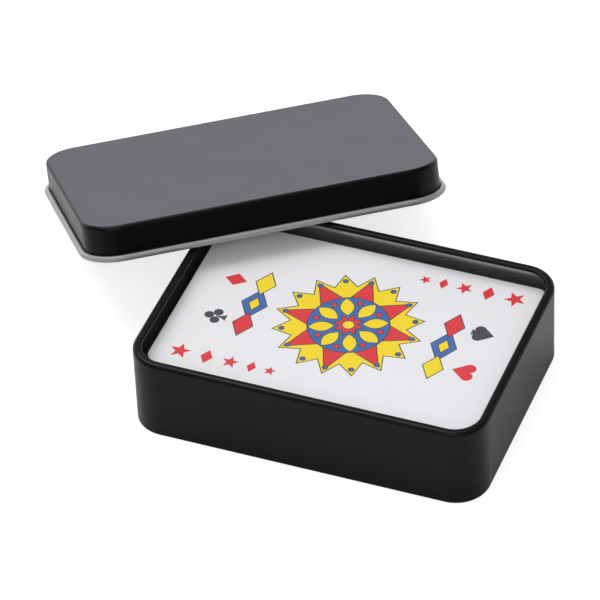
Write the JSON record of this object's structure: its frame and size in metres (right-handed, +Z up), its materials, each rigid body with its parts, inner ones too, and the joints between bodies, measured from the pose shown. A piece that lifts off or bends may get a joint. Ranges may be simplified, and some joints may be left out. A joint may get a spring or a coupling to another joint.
{
  "type": "playing card tin",
  "caption": "Flat drawn metal tin with rounded corners, an inward curled rim, a slip-over lid with an outward curled edge laid across one corner, and a deck of playing cards.",
  "frame": {"origin": "middle of the base's flat underside", "axes": "+X along the long side, +Y to the back, +Z up"},
  "size_m": [0.1493, 0.1353, 0.0321],
  "materials": {
    "base_lacquer": "black lacquered tinplate, semi-gloss",
    "lid_lacquer": "black lacquered tinplate, satin, with a bare metal curl",
    "card": "smooth coated playing-card board"
  },
  "bodies": {
    "base": {"tin_base": "base_lacquer"},
    "lid": {"lid": "lid_lacquer"},
    "deck": {"ace_of_spades": "card", "two_of_spades": "card", "three_of_spades": "card", "four_of_spades": "card", "five_of_spades": "card", "six_of_spades": "card", "seven_of_spades": "card", "eight_of_spades": "card", "nine_of_spades": "card", "ten_of_spades": "card", "jack_of_spades": "card", "queen_of_spades": "card", "king_of_spades": "card", "ace_of_hearts": "card", "two_of_hearts": "card", "three_of_hearts": "card", "four_of_hearts": "card", "five_of_hearts": "card", "six_of_hearts": "card", "seven_of_hearts": "card", "eight_of_hearts": "card", "nine_of_hearts": "card", "ten_of_hearts": "card", "jack_of_hearts": "card", "queen_of_hearts": "card", "king_of_hearts": "card", "ace_of_clubs": "card", "two_of_clubs": "card", "three_of_clubs": "card", "four_of_clubs": "card", "five_of_clubs": "card", "six_of_clubs": "card", "seven_of_clubs": "card", "eight_of_clubs": "card", "nine_of_clubs": "card", "ten_of_clubs": "card", "jack_of_clubs": "card", "queen_of_clubs": "card", "king_of_clubs": "card", "ace_of_diamonds": "card", "two_of_diamonds": "card", "three_of_diamonds": "card", "four_of_diamonds": "card", "five_of_diamonds": "card", "six_of_diamonds": "card", "seven_of_diamonds": "card", "eight_of_diamonds": "card", "nine_of_diamonds": "card", "ten_of_diamonds": "card", "jack_of_diamonds": "card", "queen_of_diamonds": "card", "king_of_diamonds": "card", "wild_card_1": "card", "wild_card_2": "card"}
  },
  "joints": [
    {"name": "lid_lift", "type": "slide", "parent": "base", "child": "lid", "axis": [0, 0, 1], "range_m": [0, 0.05]},
    {"name": "deck_tip", "type": "hinge", "parent": "base", "child": "deck", "pos_m": [0, 0.0308, 0.0179], "axis": [-1, 0, 0], "range_deg": [0, 10]}
  ]
}
